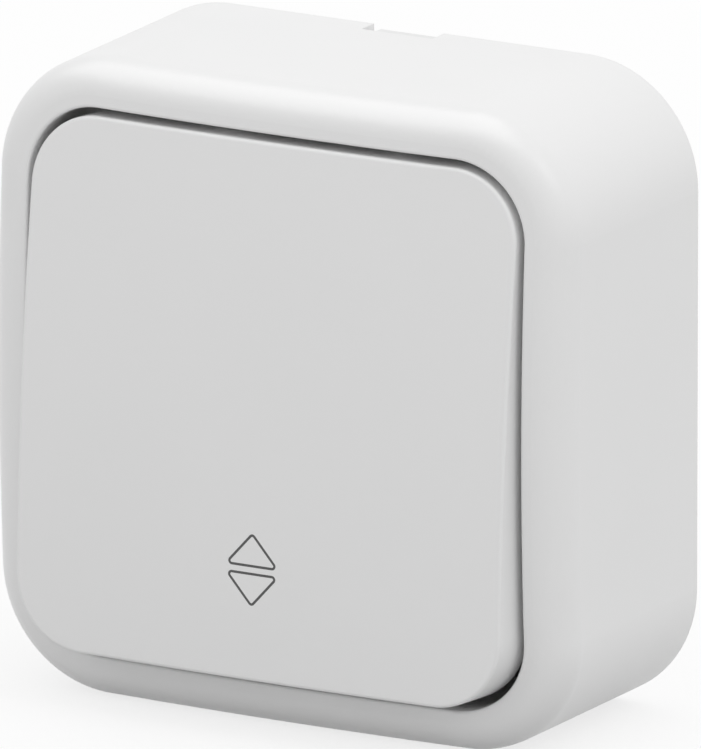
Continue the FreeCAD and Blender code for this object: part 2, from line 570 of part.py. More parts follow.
def base_plate():
    """Base that is screwed to the wall: floor, rim, posts and bosses, fixing slots and cable entries."""
    body = new_body("base_plate")
    floor = new_sketch(body, "floor", "0")
    rounded(floor, "floor", "places.base_width", "places.base_width", "places.base_radius")
    pad(body, floor, "sizes.base_floor")

    rim = new_sketch(body, "rim", "sizes.base_floor")
    rounded(rim, "outer", "places.base_width", "places.base_width", "places.base_radius")
    inner_width = "places.base_width - 2 * sizes.rim_wall"
    rounded(rim, "inner", inner_width, inner_width, "places.base_radius - sizes.rim_wall")
    pad(body, rim, "sizes.rim_height")

    posts = new_sketch(body, "posts", "sizes.base_floor")
    bosses = new_sketch(body, "bosses", "sizes.base_floor")
    post_bores = new_sketch(body, "post_bores", "places.skirt_rear")
    boss_bores = new_sketch(body, "boss_bores", "places.boss_front")
    locators = new_sketch(body, "locators", "sizes.base_floor")
    slots = new_sketch(body, "wall_slots", "sizes.base_floor")
    entries = new_sketch(body, "cable_entries", "sizes.base_floor")
    knockouts = new_sketch(body, "knockouts", "0")
    locator = "(places.block_width / 2 + sizes.locator_gap + sizes.locator_wall / 2)"
    for side, sign in (("plus", ""), ("minus", "-1 * ")):
        post = f"{sign}(places.cover_screw_across)"
        circle(posts, side, "sizes.post_width / 2", post)
        circle(post_bores, side, "places.screw_bore", post)
        boss = f"{sign}(places.mechanism_screw_up)"
        circle(bosses, side, "sizes.boss_width / 2", up=boss)
        circle(boss_bores, side, "places.screw_bore", up=boss)
        slot = f"{sign}(places.wall_slot_up)"
        upright_slot(slots, side, "sizes.wall_slot_width", "sizes.wall_slot_length", "0", slot)
        entry = f"{sign}(places.entry_across)"
        circle(entries, side, "sizes.entry_width / 2", entry, "places.entry_up")
        circle(knockouts, f"{side}_inner", "sizes.entry_width / 2", entry, "-1 * places.entry_up")
        ring = "sizes.entry_width / 2 + sizes.knockout_groove"
        circle(knockouts, f"{side}_outer", ring, entry, "-1 * places.entry_up")
        rectangle(locators, side, "sizes.locator_wall", "sizes.locator_length", f"{sign}{locator}")
    pad(body, posts, "places.skirt_rear - sizes.base_floor")
    pad(body, bosses, "sizes.boss_length")
    pad(body, locators, "sizes.rim_height")
    pocket(body, post_bores, "sizes.cover_screw_length - sizes.tab_thickness + sizes.bore_spare")
    pocket(
        body,
        boss_bores,
        "sizes.mechanism_screw_length - (places.frame_front - places.boss_front) + sizes.bore_spare",
    )
    pocket(body, slots, "sizes.base_floor")
    pocket(body, entries, "sizes.base_floor")
    pocket(body, knockouts, "sizes.base_floor - sizes.knockout_web", forward=True)
    return body


def mechanism_body():
    """Insulating block that holds the contacts in a middle chamber and three open terminal bays."""
    body = new_body("mechanism_body")
    block = new_sketch(body, "block", "sizes.base_floor")
    rounded(block, "block", "places.block_width", "places.block_height", "sizes.block_corner")
    pad(body, block, "sizes.block_floor + sizes.chamber_depth")

    chamber = new_sketch(body, "chamber", "places.block_front")
    rounded(chamber, "chamber", "places.chamber_width", "places.chamber_height", "sizes.block_corner / 2")
    pocket(body, chamber, "sizes.chamber_depth")

    bays = new_sketch(body, "bays", "places.block_front")
    slots = new_sketch(body, "strip_slots", "places.strip_front + sizes.strip_gap")
    screws = new_sketch(body, "terminal_holes", "places.strip_seat")
    bay_width = "(places.block_width / 2 - places.bay_inner + sizes.cut_spare)"
    slot_width = "places.bay_inner - places.chamber_width / 2 + 2 * sizes.cut_spare"
    slot_place = "(places.bay_inner + places.chamber_width / 2) / 2"
    slot_height = "sizes.strip_width + 2 * sizes.strip_gap"
    for name, sign, up in TERMINALS:
        bay_place = f"{sign}(places.bay_inner + {bay_width} / 2)"
        rectangle(bays, name, bay_width, "places.bay_height", bay_place, up)
        rectangle(slots, name, slot_width, slot_height, f"{sign}({slot_place})", up)
        circle(screws, name, "places.terminal_hole", f"{sign}(sizes.terminal_across)", up)
    pocket(body, bays, "sizes.chamber_depth")
    pocket(body, slots, "sizes.strip_thickness + sizes.strip_gap")
    screw_end = "sizes.terminal_screw_length - sizes.clamp_thickness - sizes.strip_thickness"
    pocket(body, screws, f"{screw_end} + sizes.bore_spare")

    holes = new_sketch(body, "screw_holes", "places.block_front")
    sockets = new_sketch(body, "boss_sockets", "sizes.base_floor")
    for side, sign in (("top", ""), ("bottom", "-1 * ")):
        up = f"{sign}(places.mechanism_screw_up)"
        circle(holes, side, "places.screw_hole", up=up)
        circle(sockets, side, "places.socket_radius", up=up)
    pocket(body, holes, "sizes.block_floor + sizes.chamber_depth")
    pocket(body, sockets, "sizes.boss_length + sizes.boss_clearance", forward=True)
    return body


def bearing_frame():
    """Frame that closes the block and carries the two bearing ears of the cradle."""
    body = new_body("bearing_frame")
    plate = new_sketch(body, "plate", "places.block_front")
    plate_height = "places.block_height - 2 * sizes.frame_inset"
    rounded(plate, "plate", "places.frame_width", plate_height, "sizes.block_corner")
    pad(body, plate, "sizes.frame_plate")
    foot = "-1 * (places.frame_front - sizes.root)"
    pivot = "-1 * places.pivot_depth"
    corners = [
        (foot, "sizes.ear_foot / 2"),
        (foot, "-1 * sizes.ear_foot / 2"),
        (pivot, "-1 * sizes.ear_radius"),
        (pivot, "sizes.ear_radius"),
    ]
    for side, start in (("right", "places.ear_inner"), ("left", "-1 * places.ear_outer")):
        ear = new_sketch(body, f"ear_{side}", start, "YZ_Plane")
        outline(ear, "ear", corners, {2: (f"{pivot} - sizes.ear_radius", "0")})
        pad(body, ear, "sizes.ear_thickness")
    bearing = new_sketch(body, "bearings", "places.frame_width", "YZ_Plane")
    circle(bearing, "bore", "sizes.trunnion_radius + sizes.running_clearance", pivot)
    pocket(body, bearing, "2 * places.frame_width")
    window = new_sketch(body, "window", "places.frame_front")
    rounded(window, "window", "places.window_width", "places.window_height", "sizes.block_corner / 2")
    for side, sign in (("top", ""), ("bottom", "-1 * ")):
        circle(window, side, "places.screw_hole", up=f"{sign}(places.mechanism_screw_up)")
    pocket(body, window, "sizes.frame_plate")
    return body


def rocker_key():
    """The key that a finger presses: domed face, sides, ribs, and two snap legs that grip the cradle."""
    body = new_body("rocker_key")
    face = new_sketch(body, "face", "places.key_rear")
    rounded(face, "face", "places.key_width", "places.key_height", "sizes.key_radius")
    pad(body, face, "sizes.key_side_length + sizes.cut_spare")
    across_radius = "(places.key_width / 2) ^ 2 / (2 * sizes.key_drop_across)"
    up_radius = "(places.key_height / 2) ^ 2 / (2 * sizes.key_drop_up)"
    reach = "places.key_width / 2 + sizes.cut_spare"
    front = "places.key_crown + sizes.key_drop_across + 2 * sizes.cut_spare"
    dome_cut(body, "dome", "places.key_crown", across_radius, up_radius, reach, front)
    seat = number("places.cradle_front")
    fillet(body, "sizes.key_edge_round", lambda edge: edge_box(edge)[0] > seat)

    cavity = new_sketch(body, "cavity", "places.key_rear")
    rounded(
        cavity,
        "cavity",
        "places.key_width - 2 * sizes.key_wall",
        "places.key_height - 2 * sizes.key_wall",
        "sizes.key_radius - sizes.key_wall",
    )
    pocket(body, cavity, "places.cradle_front - places.key_rear", forward=True)
    dome_cut(
        body,
        "hollow",
        "(places.key_crown - sizes.key_skin)",
        f"{across_radius} - sizes.key_skin",
        f"{up_radius} - sizes.key_skin",
        "places.hollow_width / 2",
        "places.cradle_front - sizes.root",
    )

    ribs = new_sketch(body, "ribs", "places.cradle_front")
    cross_ribs = new_sketch(body, "cross_ribs", "places.cradle_front")
    legs = new_sketch(body, "legs", "places.cradle_rear - sizes.leg_gap - sizes.hook_length")
    hooks = new_sketch(body, "hooks", "places.cradle_rear - sizes.leg_gap - sizes.hook_length")
    for side, sign in (("plus", ""), ("minus", "-1 * ")):
        rib = f"{sign}(sizes.key_rib_place)"
        rectangle(ribs, side, "sizes.key_rib", "places.hollow_width", rib)
        rectangle(cross_ribs, side, "places.hollow_width", "sizes.key_rib", up=rib)
        leg = f"{sign}(places.leg_inner + sizes.leg_thickness / 2)"
        rectangle(legs, side, "sizes.leg_thickness", "sizes.leg_height", leg)
        hook = f"{sign}(places.leg_inner - sizes.hook_reach / 2 + sizes.root)"
        rectangle(hooks, side, "sizes.hook_reach + 2 * sizes.root", "sizes.leg_height", hook)
    pad(body, ribs, "places.rib_depth")
    pad(body, cross_ribs, "places.rib_depth")
    leg_length = "sizes.hook_length + sizes.leg_gap + sizes.cradle_plate"
    pad(body, legs, f"{leg_length} + places.rib_depth")
    pad(body, hooks, "sizes.hook_length")
    body.Placement = tilted("places.pivot_depth", -number("sizes.rest_tilt"))
    return body


def rocker_cradle():
    """Cradle under the key: plate, hub with two trunnions, and the tube that guides the plunger."""
    body = new_body("rocker_cradle")
    plate = new_sketch(body, "plate", "places.cradle_rear")
    rounded(plate, "plate", "sizes.cradle_width", "sizes.cradle_width", "sizes.cradle_corner")
    pad(body, plate, "sizes.cradle_plate")
    tube = new_sketch(body, "tube", "places.tube_rear")
    circle(tube, "tube", "sizes.tube_radius")
    pad(body, tube, "places.cradle_rear - places.tube_rear")
    hub = new_sketch(body, "hub", "places.cradle_rear - sizes.hub_length")
    rounded(hub, "hub", "sizes.hub_width", "sizes.hub_height", "sizes.trunnion_radius / 2")
    pad(body, hub, "sizes.hub_length")
    trunnion = new_sketch(body, "trunnion", "0", "YZ_Plane")
    circle(trunnion, "trunnion", "sizes.trunnion_radius", "-1 * places.pivot_depth")
    pad(body, trunnion, "places.trunnion_span", centred=True)

    windows = new_sketch(body, "ear_windows", "places.cradle_front")
    window_width = "sizes.ear_thickness + 2 * sizes.ear_window_gap"
    window_height = "2 * (sizes.ear_radius + sizes.ear_swing_gap)"
    window_place = "(places.ear_inner + places.ear_outer) / 2"
    for side, sign in (("right", ""), ("left", "-1 * ")):
        rectangle(windows, side, window_width, window_height, f"{sign}{window_place}")
    pocket(body, windows, "sizes.cradle_plate")
    bore = new_sketch(body, "bore", "places.tube_rear")
    circle(bore, "bore", "sizes.tube_bore")
    pocket(body, bore, "places.tube_end - places.tube_rear", forward=True)
    body.Placement = tilted("places.pivot_depth", -number("sizes.rest_tilt"))
    return body


def plunger():
    """Sprung plunger in the cradle's tube, whose round tip slides along the moving contact."""
    body = new_body("plunger")
    profile = new_sketch(body, "profile", "0", "XY_Plane")
    centre = "-1 * places.plunger_centre"
    guide = "sizes.tube_bore - sizes.running_clearance"
    neck = "-1 * (places.plunger_centre + sizes.plunger_cone)"
    shoulder = "-1 * places.plunger_shoulder"
    end = "-1 * (places.plunger_shoulder + sizes.spigot_length)"
    corners = [
        ("0", end),
        ("sizes.spigot_radius", end),
        ("sizes.spigot_radius", shoulder),
        (guide, shoulder),
        (guide, neck),
        ("sizes.plunger_tip", centre),
        ("0", f"{centre} + sizes.plunger_tip"),
    ]
    slant = "sizes.plunger_tip * sqrt(0.5)"
    outline(profile, "profile", corners, {5: (slant, f"{centre} + {slant}")})
    revolve(body, profile)
    body.Placement = tilted("places.pivot_depth", -number("sizes.rest_tilt"))
    return body


def plunger_spring():
    """Coil spring between the plunger's shoulder and the closed end of the cradle's bore."""
    body = new_body("plunger_spring")
    section = new_sketch(body, "section", "0", "XY_Plane")
    start = "-1 * (places.tube_end - sizes.spring_wire / 2)"
    circle(section, "wire", "sizes.spring_wire / 2", "sizes.spring_radius", start)
    coil = body.newObject("PartDesign::AdditiveHelix", "plunger_spring_coil")
    coil.Profile = section
    coil.ReferenceAxis = (section, ["V_Axis"])
    coil.Mode = "height-turns-angle"
    coil.setExpression("Height", "sizes.spring_room - sizes.spring_wire")
    coil.setExpression("Turns", "sizes.spring_turns")
    section.Visibility = False
    doc.recompute()
    body.Placement = tilted("places.pivot_depth", -number("sizes.rest_tilt"))
    return body


def moving_contact():
    """See-saw bar that rocks on the common contact's knife edge."""
    body = new_body("moving_contact")
    bar = new_sketch(body, "bar", "places.contact_pivot")
    rounded(bar, "bar", "sizes.bar_width", "2 * (sizes.contact_arm + sizes.bar_end)", "sizes.bar_corner")
    for side, sign in (("upper", ""), ("lower", "-1 * ")):
        rivet = "sizes.rivet_radius + sizes.rivet_clearance"
        circle(bar, side, rivet, up=f"{sign}(sizes.contact_arm)")
    pad(body, bar, "sizes.bar_thickness")
    groove = new_sketch(body, "groove", "sizes.bar_width", "YZ_Plane")
    circle(groove, "groove", "sizes.knife_radius + sizes.running_clearance", "-1 * places.contact_pivot")
    pocket(body, groove, "2 * sizes.bar_width")
    body.Placement = tilted("places.contact_pivot", number("sizes.contact_tilt"))
    return body


def contact_tip(label, height, shank, place):
    """Riveted contact tip with its head towards plus Y; the moving tips have a crowned head."""
    body = new_body(label)
    profile = new_sketch(body, "profile", "0", "XY_Plane")
    edge = f"{height} - sizes.tip_crown + sqrt(sizes.tip_crown ^ 2 - sizes.tip_radius ^ 2)"
    midway = f"{height} - sizes.tip_crown + sqrt(sizes.tip_crown ^ 2 - (sizes.tip_radius / 2) ^ 2)"
    corners = [
        ("0", f"-1 * {shank}"),
        ("sizes.rivet_radius", f"-1 * {shank}"),
        ("sizes.rivet_radius", "0"),
        ("sizes.tip_radius", "0"),
        ("sizes.tip_radius", edge),
        ("0", height),
    ]
    outline(profile, "profile", corners, {4: ("sizes.tip_radius / 2", midway)})
    revolve(body, profile)
    body.Placement = place
    return body


def strip_contact(label, sign, up):
    """Contact strip on its seat, with a turned-up outer end and the holes of its screw and tip."""
    body = new_body(label)
    strip = new_sketch(body, "strip", "places.strip_seat")
    length = "places.strip_outer + sizes.strip_inner"
    middle = f"{sign}((places.strip_outer - sizes.strip_inner) / 2)"
    rectangle(strip, "strip", length, "sizes.strip_width", middle, up)
    circle(strip, "screw", "places.terminal_bore", f"{sign}(sizes.terminal_across)", up)
    if up != "0":
        circle(strip, "rivet", "sizes.rivet_radius + sizes.rivet_clearance", "0", up)
    pad(body, strip, "sizes.strip_thickness")
    tongue = new_sketch(body, "tongue", "places.strip_front")
    end = f"{sign}(places.strip_outer - sizes.strip_thickness / 2)"
    rectangle(tongue, "tongue", "sizes.strip_thickness", "sizes.strip_width", end, up)
    pad(body, tongue, "sizes.tongue_height")
    return body


def common_contact():
    """Contact strip of the common terminal, with the knife edge that carries the moving contact."""
    body = strip_contact("common_contact", "-1 * ", "0")
    knife = new_sketch(body, "knife", "0", "YZ_Plane")
    foot = "-1 * (places.strip_front - sizes.root)"
    top = "-1 * places.contact_pivot"
    corners = [
        (foot, "sizes.knife_radius"),
        (foot, "-1 * sizes.knife_radius"),
        (top, "-1 * sizes.knife_radius"),
        (top, "sizes.knife_radius"),
    ]
    outline(knife, "knife", corners, {2: (f"{top} - sizes.knife_radius", "0")})
    pad(body, knife, "sizes.knife_width", centred=True)
    return body


def terminal_clamp(label, sign, up):
    """Square clamp washer of a terminal, with two turned-back lips beside the strip."""
    body = new_body(label)
    across = f"{sign}(sizes.terminal_across)"
    plate = new_sketch(body, "plate", "places.strip_front")
    rounded(plate, "plate", "sizes.clamp_width", "sizes.clamp_width", "sizes.clamp_lip", across, up)
    circle(plate, "screw", "places.terminal_hole", across, up)
    pad(body, plate, "sizes.clamp_thickness")
    lips = new_sketch(body, "lips", "places.strip_front - sizes.clamp_lip_length")
    for side, turn in (("high", ""), ("low", "-1 * ")):
        place = f"({up}) + {turn}((sizes.clamp_width - sizes.clamp_lip) / 2)"
        rectangle(lips, side, "sizes.clamp_lip_width", "sizes.clamp_lip", across, place)
    pad(body, lips, "sizes.clamp_lip_length + sizes.clamp_thickness / 2")
    return body


def screw(label, radius, length, head_radius, head_height, place):
    """Pan-head screw with a straight drive slot; its head's underside lies at its own origin."""
    body = new_body(label)
    profile = new_sketch(body, "profile", "0", "XY_Plane")
    tip = f"({radius}) - sizes.screw_point / 2"
    corners = [
        ("0", length),
        (tip, length),
        (radius, f"({length}) - sizes.screw_point"),
        (radius, "0"),
        (head_radius, "0"),
        (head_radius, "-1 * sizes.head_rim"),
        (f"{head_radius} - sizes.head_slope", f"-1 * ({head_height})"),
        ("0", f"-1 * ({head_height})"),
    ]
    outline(profile, "profile", corners)
    revolve(body, profile)
    slot = new_sketch(body, "drive", head_height)
    rectangle(slot, "drive", f"2 * ({head_radius} + sizes.cut_spare)", "sizes.drive_slot")
    pocket(body, slot, "sizes.drive_depth")
    body.Placement = place
    return body


def at(across, depth, up):
    """The placement of a piece at a place, a depth and a height on the sheets."""
    return FreeCAD.Placement(FreeCAD.Vector(number(across), -number(depth), number(up)), FreeCAD.Rotation())


# Each terminal: its name, its side of the middle, and its height.
TERMINALS = [
    ("upper", "", "sizes.contact_arm"),
    ("lower", "", "-1 * sizes.contact_arm"),
    ("common", "-1 * ", "0"),
]

parts = [
    housing_cover(),
    base_plate(),
    mechanism_body(),
    bearing_frame(),
    rocker_key(),
    rocker_cradle(),
    plunger(),
    plunger_spring(),
    moving_contact(),
    common_contact(),
]

half_turn = FreeCAD.Rotation(FreeCAD.Vector(1, 0, 0), 180)
contact_turn = tilted("places.contact_pivot", number("sizes.contact_tilt"))
for name, up in (("upper", "sizes.contact_arm"), ("lower", "-1 * sizes.contact_arm")):
    parts.append(strip_contact(f"{name}_fixed_contact", "", up))
    fixed = at("0", "places.strip_front", up) * FreeCAD.Placement(FreeCAD.Vector(), half_turn)
    tip = ("sizes.fixed_tip_height", "sizes.strip_thickness")
    parts.append(contact_tip(f"{name}_fixed_tip", *tip, fixed))
    moving = contact_turn * at("0", "places.contact_pivot", up)
    tip = ("sizes.moving_tip_height", "sizes.bar_thickness")
    parts.append(contact_tip(f"{name}_moving_tip", *tip, moving))

for name, sign, up in TERMINALS:
    parts.append(terminal_clamp(f"{name}_terminal_clamp", sign, up))
    parts.append(
        screw(
            f"{name}_terminal_screw",
            "sizes.terminal_screw_radius",
            "sizes.terminal_screw_length",
            "sizes.terminal_head_radius",
            "sizes.terminal_head_height",
            at(f"{sign}(sizes.terminal_across)", "places.clamp_front", up),
        )
    )

for name, sign in (("upper", ""), ("lower", "-1 * ")):
    place = at("0", "places.frame_front", f"{sign}(places.mechanism_screw_up)")
    length = "sizes.mechanism_screw_length"
    head = ("sizes.head_radius", "sizes.head_height")
    parts.append(screw(f"{name}_mechanism_screw", "sizes.screw_radius", length, *head, place))

for name, sign in (("right", ""), ("left", "-1 * ")):
    place = at(f"{sign}(places.cover_screw_across)", "places.tab_front", "0")
    length = "sizes.cover_screw_length"
    parts.append(screw(f"{name}_cover_screw", "sizes.screw_radius", length, *head, place))

doc.recompute()
for item in doc.Objects:
    if "Invalid" in item.State or "Error" in item.State:
        raise RuntimeError(f"{item.Name} is in state {item.State}")
for part in parts:
    if part.Shape.isNull() or not part.Shape.isValid() or not part.Shape.Solids:
        raise RuntimeError(f"{part.Label} has no valid solid")

os.makedirs("parts", exist_ok=True)
for part in parts:
    part.Shape.exportStep(f"parts/{part.Label}.step")
    print(part.Label, len(part.Shape.Solids), round(part.Shape.Volume, 1))
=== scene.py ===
import math

import bmesh
import bpy
from mathutils import Matrix, Vector
from mathutils.bvhtree import BVHTree


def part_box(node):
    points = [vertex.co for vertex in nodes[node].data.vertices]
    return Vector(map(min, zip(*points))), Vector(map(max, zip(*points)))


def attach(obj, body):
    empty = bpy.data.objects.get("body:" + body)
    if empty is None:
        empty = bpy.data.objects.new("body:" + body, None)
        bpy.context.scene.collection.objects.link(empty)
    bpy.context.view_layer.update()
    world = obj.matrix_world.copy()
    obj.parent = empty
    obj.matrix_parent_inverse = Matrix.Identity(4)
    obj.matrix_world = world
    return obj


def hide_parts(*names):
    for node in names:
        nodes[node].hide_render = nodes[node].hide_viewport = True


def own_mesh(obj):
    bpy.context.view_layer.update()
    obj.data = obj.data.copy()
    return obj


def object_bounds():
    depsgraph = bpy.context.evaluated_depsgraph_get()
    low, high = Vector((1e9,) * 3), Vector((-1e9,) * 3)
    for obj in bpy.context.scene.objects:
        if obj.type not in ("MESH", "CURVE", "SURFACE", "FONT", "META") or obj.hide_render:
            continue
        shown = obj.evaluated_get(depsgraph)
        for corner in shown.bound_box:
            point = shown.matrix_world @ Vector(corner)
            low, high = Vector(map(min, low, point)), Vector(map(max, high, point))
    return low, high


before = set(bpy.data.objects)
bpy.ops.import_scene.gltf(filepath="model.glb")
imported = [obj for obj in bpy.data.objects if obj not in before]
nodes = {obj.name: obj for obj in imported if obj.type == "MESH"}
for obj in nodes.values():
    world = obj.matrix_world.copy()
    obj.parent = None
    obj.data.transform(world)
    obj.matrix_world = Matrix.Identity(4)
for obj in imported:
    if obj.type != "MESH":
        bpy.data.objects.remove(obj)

cad_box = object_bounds()


# The housing is one deep shell with a domed front, moulded in white ABS in a polished tool.
# Its side walls fit round the base's rim, and two screws behind the key hold it to the base's posts.
MM = 0.001
# A Mix node's colour sockets share their names with its other sockets, so they go by their numbers.
MIX_A = 6
MIX_B = 7
MIX_RESULT = 2


def linear(colour):
    """The linear colour of an sRGB hex value, with an alpha of 1."""
    parts = [int(colour[place:place + 2], 16) / 255 for place in (1, 3, 5)]
    return (*[part / 12.92 if part <= 0.04045 else ((part + 0.055) / 1.055) ** 2.4 for part in parts], 1.0)


def add(tree, kind, inputs=None, **settings):
    """Adds a node with its settings; inputs gives each socket a value or another node's output."""
    node = tree.nodes.new(kind)
    for name, value in settings.items():
        setattr(node, name, value)
    for socket, value in (inputs or {}).items():
        if isinstance(value, bpy.types.NodeSocket):
            tree.links.new(value, node.inputs[socket])
        else:
            node.inputs[socket].default_value = value
    return node


def new_material(name):
    """A material without nodes, and its node tree."""
    material = bpy.data.materials.new(name)
    material.use_nodes = True
    tree = material.node_tree
    tree.nodes.clear()
    return material, tree


def dress(material, *names):
    """Gives the named pieces the material as their only one."""
    for name in names:
        nodes[name].data.materials.clear()
        nodes[name].data.materials.append(material)


def moulded_plastic(name, colour, shade, gloss, ior, grain, depth, edge):
    """Moulded plastic. Where it flowed in the tool it drifts between two tones, and its gloss with them.

    The gloss is the middle roughness. The width and depth of the tool's grain, and the radius of the
    edges, are in millimetres. Real grain is far finer, and is drawn as coarse as it needs to show.
    """
    material, tree = new_material(name)
    flow_width = 14.0
    gloss_drift = 0.15
    place = add(tree, "ShaderNodeTexCoord").outputs["Object"]
    flow = add(tree, "ShaderNodeTexNoise", {"Vector": place, "Scale": 1 / (flow_width * MM), "Detail": 2.0})
    tone = add(
        tree,
        "ShaderNodeMix",
        {"Factor": flow.outputs["Fac"], MIX_A: linear(colour), MIX_B: linear(shade)},
        data_type="RGBA",
    )
    polish = add(
        tree,
        "ShaderNodeMapRange",
        {
            "Value": flow.outputs["Fac"],
            "To Min": gloss * (1 - gloss_drift),
            "To Max": gloss * (1 + gloss_drift),
        },
    )
    soft_edge = add(tree, "ShaderNodeBevel", {"Radius": edge * MM}, samples=4)
    texture = add(tree, "ShaderNodeTexNoise", {"Vector": place, "Scale": 1 / (grain * MM), "Detail": 3.0})
    relief = add(
        tree,
        "ShaderNodeBump",
        {
            "Strength": 1.0,
            "Distance": depth * MM,
            "Height": texture.outputs["Fac"],
            "Normal": soft_edge.outputs["Normal"],
        },
    )
    surface = add(
        tree,
        "ShaderNodeBsdfPrincipled",
        {
            "Base Color": tone.outputs[MIX_RESULT],
            "Roughness": polish.outputs["Result"],
            "IOR": ior,
            "Normal": relief.outputs["Normal"],
        },
    )
    add(tree, "ShaderNodeOutputMaterial", {"Surface": surface.outputs[0]})
    return material


# ABS from a polished tool is an even, clean white with a satin shine, and its edges catch a soft light.
polished_abs = moulded_plastic(
    "polished_white_abs", "#F0F0F0", "#EEEEEE", gloss=0.34, ior=1.53, grain=0.5, depth=0.002, edge=0.12,
)
dress(polished_abs, "housing_cover")


# The base is one plate with a rim, moulded in white ABS, and two wall screws hold it through its slots.
# A low tab on the rim fills the foot of the housing's notch. It is part of the same moulding.
# ABS from a finely eroded tool is a little greyer than the housing's, and dull.
eroded_abs = moulded_plastic(
    "eroded_white_abs", "#ECECEC", "#E7E7E7", gloss=0.5, ior=1.53, grain=0.25, depth=0.006, edge=0.12,
)
dress(eroded_abs, "base_plate")

TAB_WIDTH = 7.5 * MM
TAB_DROP = 0.5 * MM
TAB_THICKNESS = 1.2 * MM
TAB_CORNER = 0.4 * MM
TAB_ROOT = 0.2 * MM
CORNER_STEPS = 6
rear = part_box("base_plate")[1].y
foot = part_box("base_plate")[1].z - TAB_ROOT
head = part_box("housing_cover")[1].z - TAB_DROP
# The outline goes along the foot and then round the two upper corners, which are quarter circles.
tab_outline = [(-TAB_WIDTH / 2, foot), (TAB_WIDTH / 2, foot)]
for side, start in ((1, 0), (-1, 90)):
    for step in range(CORNER_STEPS + 1):
        angle = math.radians(start + 90 * step / CORNER_STEPS)
        tab_outline.append((
            side * (TAB_WIDTH / 2 - TAB_CORNER) + TAB_CORNER * math.cos(angle),
            head - TAB_CORNER + TAB_CORNER * math.sin(angle),
        ))
tab_mesh = bmesh.new()
near, far = [
    [tab_mesh.verts.new((x, y, z)) for x, z in tab_outline]
    for y in (rear - TAB_THICKNESS, rear)
]
tab_mesh.faces.new(near)
tab_mesh.faces.new(far)
for index, corner in enumerate(near):
    tab_mesh.faces.new((near[index - 1], corner, far[index], far[index - 1]))
bmesh.ops.recalc_face_normals(tab_mesh, faces=tab_mesh.faces)
tab_data = bpy.data.meshes.new("notch_tab")
tab_mesh.to_mesh(tab_data)
tab_mesh.free()
tab_data.materials.append(eroded_abs)
notch_tab = bpy.data.objects.new("notch_tab", tab_data)
bpy.context.scene.collection.objects.link(notch_tab)
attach(notch_tab, "base")


# The key is a large hollow cap, moulded in white ABS in the best polished tool, because fingers touch it.
# Two legs behind it snap onto the cradle.
# Its ABS has the smoothest shine, and broad rounded edges that show as a bright line along the top.
key_abs = moulded_plastic(
    "polished_key_abs", "#F0F0F0", "#EEEEEE", gloss=0.33, ior=1.53, grain=0.6, depth=0.0015, edge=0.35,
)
dress(key_abs, "rocker_key")


# The two-way sign is two hollow triangles, one that points up and one that points down.
# It is dark grey ink, printed with a soft pad on the key's lower half, where it follows the curved face.
def hollow_triangle(apex_up, base_up, width, corner, steps):
    """The middle line of a triangle with round corners, as points with the outward direction at each.

    Each round corner and each straight side is drawn in that many steps.
    """
    corners = [Vector((-width / 2, base_up)), Vector((width / 2, base_up)), Vector((0, apex_up))]
    if apex_up < base_up:
        corners.reverse()
    line = []
    for index, point in enumerate(corners):
        before = (corners[index - 1] - point).normalized()
        after = (corners[(index + 1) % 3] - point).normalized()
        half = before.angle(after) / 2
        inward = (before + after).normalized()
        centre = point + inward * corner / math.sin(half)
        start = (point + before * corner / math.tan(half)) - centre
        sweep = math.pi - 2 * half
        for step in range(steps + 1):
            out = Matrix.Rotation(sweep * step / steps, 2) @ start.normalized()
            line.append((centre + out * corner, out))
        following = corners[(index + 1) % 3]
        next_half = (point - following).angle(corners[(index + 2) % 3] - following) / 2
        first = line[-1][0]
        last = following + (point - following).normalized() * corner / math.tan(next_half)
        for step in range(1, steps):
            line.append((first.lerp(last, step / steps), line[-1][1]))
    return line


def print_band(name, lines, stroke, film, face):
    """A closed band of ink along each line, which rises from the face by its film and sinks in by as much."""
    before_face = -1.0
    mesh = bmesh.new()
    for line in lines:
        rings = []
        for point, out in line:
            ring = []
            for reach, lift in ((0.5, film), (-0.5, film), (-0.5, -film), (0.5, -film)):
                place = point + out * stroke * reach
                start = Vector((place.x, before_face, place.y))
                hit, normal, _, _ = face.ray_cast(start, Vector((0, 1, 0)))
                ring.append(mesh.verts.new(hit + normal * lift))
            rings.append(ring)
        for index, ring in enumerate(rings):
            following = rings[(index + 1) % len(rings)]
            for side in range(4):
                across = (side + 1) % 4
                mesh.faces.new((ring[side], ring[across], following[across], following[side]))
    bmesh.ops.recalc_face_normals(mesh, faces=mesh.faces)
    data = bpy.data.meshes.new(name)
    mesh.to_mesh(data)
    mesh.free()
    piece = bpy.data.objects.new(name, data)
    bpy.context.scene.collection.objects.link(piece)
    return piece


def pad_print_ink(name, colour, shade, gloss, ior, mottle_width):
    """Pad-printed ink, which varies between two tones over the mottle's width in millimetres."""
    material, tree = new_material(name)
    place = add(tree, "ShaderNodeTexCoord").outputs["Object"]
    mottle = add(
        tree,
        "ShaderNodeTexNoise",
        {"Vector": place, "Scale": 1 / (mottle_width * MM), "Detail": 3.0},
    )
    tone = add(
        tree,
        "ShaderNodeMix",
        {"Factor": mottle.outputs["Fac"], MIX_A: linear(colour), MIX_B: linear(shade)},
        data_type="RGBA",
    )
    surface = add(
        tree,
        "ShaderNodeBsdfPrincipled",
        {"Base Color": tone.outputs[MIX_RESULT], "Roughness": gloss, "IOR": ior},
    )
    add(tree, "ShaderNodeOutputMaterial", {"Surface": surface.outputs[0]})
    return material


